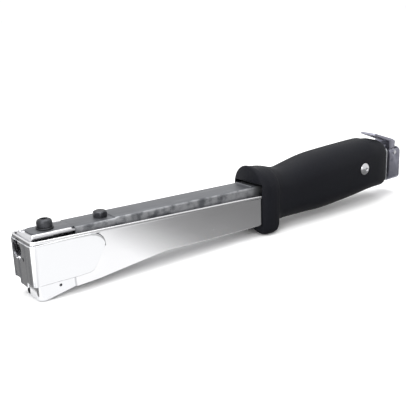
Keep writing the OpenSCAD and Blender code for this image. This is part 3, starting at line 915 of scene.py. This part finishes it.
washer_r = (washer_high.x - washer_low.x) / 2
washer_t = washer_high.z - washer_low.z
washer = make_piece("bolt_washer", *turned([
    (2.5, 0), (washer_r - 0.2, 0), (washer_r, 0.2), (washer_r, washer_t - 0.25),
    (washer_r - 0.25, washer_t), (2.5, washer_t)], middle(washer_low, washer_high, washer_low.z)),
    "driver_washer", "black_oxide", "arm_body")
dress(washer, "black_oxide")

head_r = (bolt_high.x - bolt_low.x) / 2
head_h = bolt_high.z - washer_high.z
bolt = make_piece("front_bolt", *turned([
    (0, -3), (SHANK_R, -3), (SHANK_R, 0), (head_r - 0.25, 0), (head_r, 0.3), (head_r, head_h - 1.9),
    (head_r - 0.25, head_h - 1.2), (head_r - 0.8, head_h - 0.6), (head_r - 1.7, head_h - 0.2),
    (head_r - 2.4, head_h - 0.05), (head_r - 2.7, head_h), (0, head_h)],
    middle(bolt_low, bolt_high, washer_high.z)), "driver_bolt", "black_oxide", "arm_body")
cut(bolt, [rod(middle(bolt_low, bolt_high, bolt_high.z), 2, SOCKET_R, 4.4, 6)])
soften(bolt, 0.12, 2, 50)
dress(bolt, "black_oxide")

stop_r = (stop_high.x - stop_low.x) / 2
stop_seat_z = arm_top((stop_low.x + stop_high.x) / 2) - STEP_H + HEAD_LIFT
stop_h = stop_high.z - stop_seat_z

HEX_TURN = 0.2


def hexagon_head(centre, corner_r, height, sides=72):
    """A hexagon head on a short shank, whose top corners are cut by a cone."""
    rings = []
    flat_r = corner_r * math.cos(math.pi / 6)
    steps = [(SHANK_R, -3), (SHANK_R, 0), (corner_r - 0.3, 0.0), (corner_r, 0.25),
             (corner_r, height - 1.1), (corner_r - 0.45, height - 0.65),
             (corner_r - 1.0, height - 0.25), (corner_r - 1.5, height), (0, height)]
    for radius, z in steps:
        ring = []
        for i in range(sides):
            a = 2 * math.pi * i / sides
            to_flat = (a + math.pi / 6) % (math.pi / 3) - math.pi / 6
            r = min(radius, flat_r / math.cos(math.pi / 6 - abs(to_flat)))
            ring.append((centre[0] + r * math.cos(a + HEX_TURN),
                         centre[1] + r * math.sin(a + HEX_TURN), centre[2] + z))
        rings.append(ring)
    return skin(rings)


stop_head = hexagon_head(middle(stop_low, stop_high, stop_seat_z), stop_r, stop_h)
stop_bolt = make_piece("second_bolt", *stop_head, "bumper_bolt", "black_oxide", "arm_body", crease=24)
dress(stop_bolt, "black_oxide")

# %% Rivet

rivet_low, rivet_high = box("pivot_rivet")
RIVET_R = 2.5
RIVET_HEAD_R = 4.7
HEAD_SEAT = 2.4
rivet_head = [(0, -1), (RIVET_HEAD_R - 0.3, -1), (RIVET_HEAD_R, -0.6), (RIVET_HEAD_R, 0.35),
              (RIVET_HEAD_R - 0.4, 0.9), (RIVET_HEAD_R - 1.2, 1.5), (RIVET_HEAD_R - 2.2, 2.0),
              (RIVET_HEAD_R - 2.9, 2.25), (1.3, 2.25), (1.0, 1.7), (0, 1.6)]
for side, axis, y in (("near", "-y", rivet_low.y + HEAD_SEAT), ("far", "y", rivet_high.y - HEAD_SEAT)):
    head = make_piece(f"rivet_head_{side}", *turned(rivet_head, (pivot_x, y, pivot_z), axis),
                      "pivot_rivet", "bright_steel", "arm_body")
    dress(head, "bright_steel")
shank = make_piece("rivet_shank",
                   *rod((pivot_x, 0, pivot_z), 1, RIVET_R, 2 * (rivet_high.y - HEAD_SEAT), 40),
                   "pivot_rivet", "bright_steel", "arm_body")
dress(shank, "bright_steel")

# %% [markdown]
# ## The grip
#
# The grip is one moulding: a boxy guard with round corners and an arched underside, a
# shoulder that falls away behind it, and a handle that swells for the palm. A loft
# through many sections gives the swelling, and each section has its own radius above and
# below. Its sections are joined by a smooth curve, so only the stations where the shape
# changes are written down. The collar and the hollow for the arm are cut out afterwards.

# %% Grip

grip_end_x = pivot_x + 32
GUARD_X = 170.5
GUARD_HALF = 18.6
GUARD_CORNER = 7.0


def guard_half(depth):
    """Half width of the guard at a depth behind its front, where its corners are round."""
    left = GUARD_CORNER - min(depth, GUARD_CORNER)
    return GUARD_HALF - GUARD_CORNER + math.sqrt(GUARD_CORNER**2 - left**2)


# Stations: x, low z, high z, half width, upper radius, lower radius
guard = []
for depth, low, high in ((0, 1.9, 48.0), (0.2, 1.2, 48.8), (0.7, 0.5, 49.5), (1.5, 0.1, 49.8),
                         (3.0, 0.0, 49.2), (4.8, 0.0, 48.4), (7.0, 0.0, 48.0), (11.5, 0.0, 47.5)):
    half = guard_half(depth)
    guard.append((GUARD_X + depth, low, high, half, min(15.5, half - 0.4), 5.5))
guard += [
    (184.4, 0.2, 47.2, 18.2, 15.0, 6.2), (185.6, 1.1, 47.0, 17.8, 14.8, 7.5),
    (186.5, 2.6, 46.8, 17.2, 14.4, 9.5), (187.6, 4.3, 46.7, 16.6, 14.0, 11.0),
]
handle = [
    (189.5, 5.2, 46.2, 16.2, 14.0, 12.3), (195.5, 5.5, 44.4, 16.1, 14.0, 12.6),
    (200.0, 5.5, 43.8, 16.1, 14.0, 12.8), (204.5, 5.4, 44.1, 16.2, 14.0, 13.0),
    (209.0, 5.4, 45.0, 16.4, 14.2, 13.2), (216.0, 5.3, 46.4, 16.8, 14.8, 13.5),
    (225.0, 5.0, 48.1, 17.1, 15.2, 13.8), (236.0, 4.7, 49.4, 17.4, 15.5, 14.0),
    (256.0, 5.6, 50.5, 17.3, 15.5, 14.0), (276.0, 7.2, 51.1, 16.8, 14.5, 13.0),
    (288.0, 8.4, 51.3, 16.3, 13.4, 12.4), (295.0, 8.9, 51.2, 15.8, 12.8, 12.0),
    (299.0, 9.1, 50.0, 15.5, 12.4, 11.6), (304.0, 9.2, 49.6, 14.9, 12.0, 11.0),
    (309.5, 9.2, 48.4, 13.9, 10.8, 9.8),
]
end = [
    (grip_end_x - 1.4, 9.3, 46.8, 13.3, 9.8, 9.0), (grip_end_x - 0.6, 9.6, 46.5, 13.0, 9.6, 8.8),
    (grip_end_x - 0.15, 10.1, 46.0, 12.5, 9.2, 8.4), (grip_end_x, 10.8, 45.3, 11.8, 8.6, 7.8),
]
grip_stations = guard + handle + end


def grip_section(x, low, high, half, upper_r, lower_r):
    """A closed section of the grip with round corners."""
    ring = []
    corners = [(-half + lower_r, low + lower_r, lower_r, math.pi),
               (half - lower_r, low + lower_r, lower_r, 1.5 * math.pi),
               (half - upper_r, high - upper_r, upper_r, 0),
               (-half + upper_r, high - upper_r, upper_r, math.pi / 2)]
    for y, z, r, start in corners:
        for i in range(13):
            a = start + math.pi / 2 * i / 12
            ring.append((x, y + r * math.cos(a), z + r * math.sin(a)))
    return ring


def between(first, last, step):
    """Places from first to last, about a step apart."""
    count = max(1, round((last - first) / step))
    return [first + (last - first) * i / count for i in range(count)]


def grip_places():
    places = []
    for (x0, *_), (x1, *_) in zip(grip_stations, grip_stations[1:]):
        places += between(x0, x1, 0.5 if x1 < 188 else 3.0)
    return places + [grip_stations[-1][0]]


grip_rings = []
for x in grip_places():
    low, high, half, upper_r, lower_r = [flow(grip_stations, x, column) for column in range(1, 6)]
    grip_rings.append(grip_section(x, max(low, 0), high, min(half, GUARD_HALF), upper_r, lower_r))
grip = make_piece("grip_moulding", *skin(grip_rings), "grip", "grip_rubber", "arm_body", crease=50)

ARCH_R = 28.3
ARCH_RISE = 4.2
COLLAR_HALF = case_high.y + 0.6
collar_back_x = case_high.x + 13.5
collar_low_z = kink_z - 2.8
stroke = joint["driver_slide"]["range_m"][1] / MM
collar_front_x = case_high.x - 4
collar_top_z = case_top(collar_front_x) + stroke * (pivot_x - collar_front_x) / pivot_x + 0.8
rail_low_z = box("magazine_rail")[0].z
roof_z = pivot_z + 7.4
hollow = [
    (collar_back_x - 5, rail_low_z - 3), (pivot_x, rail_low_z - 3),
    (grip_end_x + 7, rail_low_z - 2.4), (grip_end_x + 7, channel_top_z + 2.2),
    (pivot_x + 19, channel_top_z + 4.2), (pivot_x + 19, roof_z),
    (bar_back_x, roof_z), (bar_back_x, arm_top(bar_back_x)),
    (collar_back_x - 5, arm_top(collar_back_x - 5)),
]
cut(grip, [
    rod((GUARD_X + 6, 0, ARCH_RISE - ARCH_R), 0, ARCH_R, 26, 96),
    block((collar_front_x - 8, -COLLAR_HALF, collar_low_z), (collar_back_x, COLLAR_HALF, collar_top_z)),
    prism(hollow, -arm_high.y - 0.01, arm_high.y + 0.01),
], crease=50)
dress(grip, "grip_rubber")

# %% [markdown]
# ## Plates at the back
#
# The end plate, the magazine's bracket and the latch lever are flat or folded sheet whose
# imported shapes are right, apart from their knife-sharp edges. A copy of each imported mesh
# gets its flat faces merged and its edges rounded.

# %% Bracket, end plate and latch


def eased(name, node, slot, body, width):
    """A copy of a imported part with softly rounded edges."""
    mesh = frame["nodes"][node].data.copy()
    work = bmesh.new()
    work.from_mesh(mesh)
    bmesh.ops.remove_doubles(work, verts=work.verts, dist=0.001 * MM)
    bmesh.ops.dissolve_limit(work, angle_limit=math.radians(1), verts=work.verts, edges=work.edges)
    work.to_mesh(mesh)
    work.free()
    piece = bpy.data.objects.new(name, mesh)
    bpy.context.scene.collection.objects.link(piece)
    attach(piece, body)
    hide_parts(node)
    soften(piece, width, 2, 40)
    dress(piece, slot)
    return piece


eased("rear_bracket", "magazine_bracket", "latch_zinc", "magazine", 0.25)
eased("rear_plate", "end_plate", "zinc_sheet", "casing_body", 0.2)
eased("latch_tab", "latch_lever", "latch_zinc", "latch", 0.15)

# %% [markdown]
# ## Camera
#
# The tool is seen from its front left, a little from above. The lens is fairly long and
# stands close, so the head looks larger than the grip. The camera aims at a point near the
# middle of the tool's box, and it leans over by two degrees.

# %% Camera

AZIMUTH = math.radians(-36.92)
ELEVATION = math.radians(16.79)
LEAN = math.radians(-2.25)
DISTANCE = 480 * MM
AIM_SHIFT = Vector((-39.1, -6.2, 4.2)) * MM
tool_low, tool_high = (Vector(corner) for corner in cad_box)
aim = (tool_low + tool_high) / 2 + AIM_SHIFT
back = Vector((math.sin(AZIMUTH) * math.cos(ELEVATION), -math.cos(AZIMUTH) * math.cos(ELEVATION),
               math.sin(ELEVATION)))
lens = bpy.data.cameras.new("camera")
lens.lens = 61.4
lens.clip_end = 50
camera = bpy.data.objects.new("camera", lens)
bpy.context.scene.collection.objects.link(camera)
camera.location = aim + back * DISTANCE
camera.rotation_mode = "QUATERNION"
camera.rotation_quaternion = back.to_track_quat("Z", "Y") @ Quaternion((0, 0, 1), LEAN)
bpy.context.scene.camera = camera
print("camera at", [round(c, 3) for c in camera.location])

# %% [markdown]
# ## Floor and light
#
# The floor is white and wide, so it is both the ground and the backdrop. Chrome needs
# something to mirror. The side of the casing mirrors the floor in front of the tool, so
# a grey card that only reflections see lies there, white towards the head and grey
# towards the grip. A second card does the same for the front plate. A large soft lamp
# from above and one from the left make the rest.

# %% Floor


def sheet(name, low, high, z):
    """A flat rectangle in millimetres."""
    corners = [(low[0], low[1]), (high[0], low[1]), (high[0], high[1]), (low[0], high[1])]
    mesh = bpy.data.meshes.new(name)
    mesh.from_pydata([Vector((x, y, z)) * MM for x, y in corners], [], [(0, 1, 2, 3)])
    piece = bpy.data.objects.new(name, mesh)
    bpy.context.scene.collection.objects.link(piece)
    return piece


def floor_paper():
    finish = Finish("white paper")
    fibre = finish.noise(400, detail=3.0)
    finish.surface(Base_Color=finish.blend(fibre, tone(0.955, 0.955, 0.955), tone(0.975, 0.975, 0.975)),
                   Roughness=0.9, Specular_IOR_Level=0.1)
    return finish.material


floor = sheet("floor", (-6000, -6000), (6000, 6000), -0.3)
floor.data.materials.append(floor_paper())


def card(name, low, high, axis, stops):
    """A card that only reflections see. stops are (place in mm, brightness) along an axis."""
    piece = sheet(name, low, high, 0.5)
    finish = Finish(name + " paper")
    first, last = stops[0][0], stops[-1][0]
    along = finish.step(finish.axis(axis), first * MM, last * MM)
    along.socket.node.interpolation_type = "LINEAR"
    ramp = [((at - first) / (last - first), tone(level, level, level)) for at, level in stops]
    shade = finish.add("ShaderNodeValToRGB", {"stops": ramp}, {"Fac": along})
    glow = finish.add("ShaderNodeEmission", {}, {"Color": shade, "Strength": 1.0})
    end = next(n for n in finish.tree.nodes if n.type == "OUTPUT_MATERIAL")
    finish.feed(end.inputs["Surface"], glow)
    piece.data.materials.append(finish.material)
    piece.visible_camera = False
    piece.visible_diffuse = False
    piece.visible_shadow = False
    piece.visible_transmission = False
    return piece


card("side_card", (-40, -700), (460, -16), 0,
     [(-40, 1.3), (80, 1.3), (107, 0.8), (128, 0.5), (140, 0.4), (175, 0.31), (205, 0.27), (460, 0.22)])
card("front_card", (-400, -10), (-7, 700), 0, [(-400, 0.30), (-7, 0.26)])
print("floor and cards laid")

# %% Lamps and world


def lamp(name, place, towards, size, power):
    light = bpy.data.lights.new(name, "AREA")
    light.shape = "RECTANGLE"
    light.size, light.size_y = size
    light.energy = power
    piece = bpy.data.objects.new(name, light)
    bpy.context.scene.collection.objects.link(piece)
    piece.location = place
    piece.rotation_mode = "QUATERNION"
    piece.rotation_quaternion = (Vector(place) - Vector(towards)).to_track_quat("Z", "Y")
    return piece


lamp("overhead", (0.10, 0.15, 1.3), (0.15, 0, 0), (1.4, 1.0), 14)
lamp("left", (-0.9, -0.7, 0.7), (0.1, 0, 0.02), (0.7, 0.7), 7)
world = bpy.data.worlds.new("studio")
bpy.context.scene.world = world
world.use_nodes = True
world.node_tree.nodes["Background"].inputs["Color"].default_value = tone(1, 1, 1)
world.node_tree.nodes["Background"].inputs["Strength"].default_value = 1.05
bpy.context.scene.view_settings.view_transform = "Standard"
print("lit")
